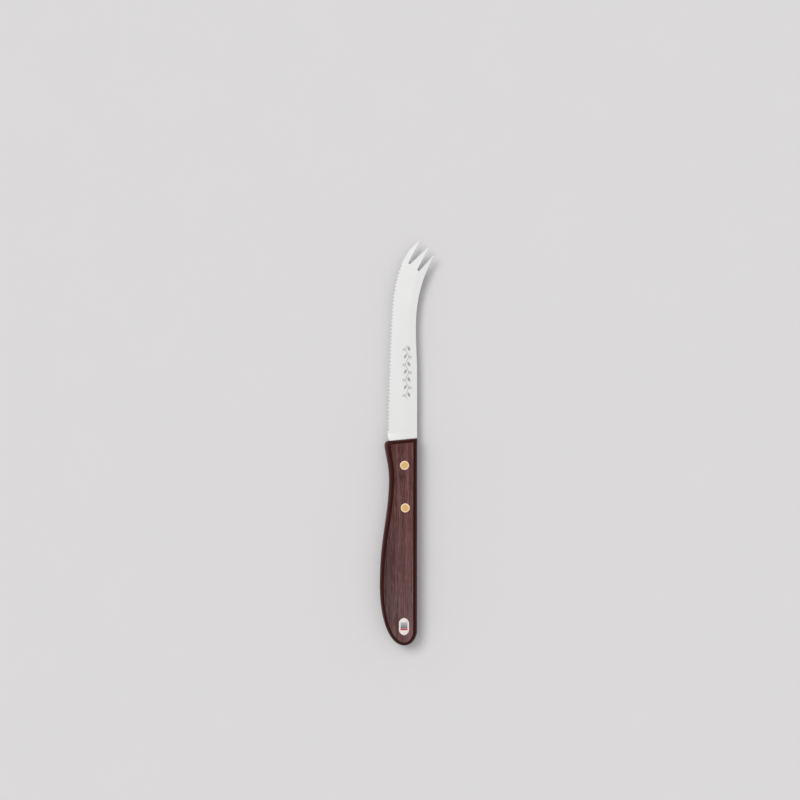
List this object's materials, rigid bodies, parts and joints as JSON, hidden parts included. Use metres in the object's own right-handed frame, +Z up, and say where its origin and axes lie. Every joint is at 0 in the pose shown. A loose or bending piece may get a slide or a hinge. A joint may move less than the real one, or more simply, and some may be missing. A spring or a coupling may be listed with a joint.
{
  "type": "citrus knife",
  "caption": "Flat citrus knife lying on its side: steel blade with fine serrated edge and forked upturned tip, half tang riveted into a rounded rosewood handle, for cutting and lifting fruit.",
  "frame": {"origin": "under the middle of the knife's box, on the surface it lies on", "axes": "+Y runs along the blade to the tip, +X to the spine side, +Z up out of the labelled face"},
  "size_m": [0.0298, 0.2204, 0.0132],
  "materials": {
    "steel": "satin glazed stainless steel",
    "rosewood": "sanded rosewood with a thin satin lacquer",
    "brass": "sanded flush with the wood",
    "label": "thin glossy printed film"
  },
  "bodies": {
    "root": {"blade": "steel", "handle": "rosewood", "front_rivet_pin": "brass", "front_rivet_tube": "brass", "rear_rivet_pin": "brass", "rear_rivet_tube": "brass", "label": "label"}
  },
  "joints": []
}
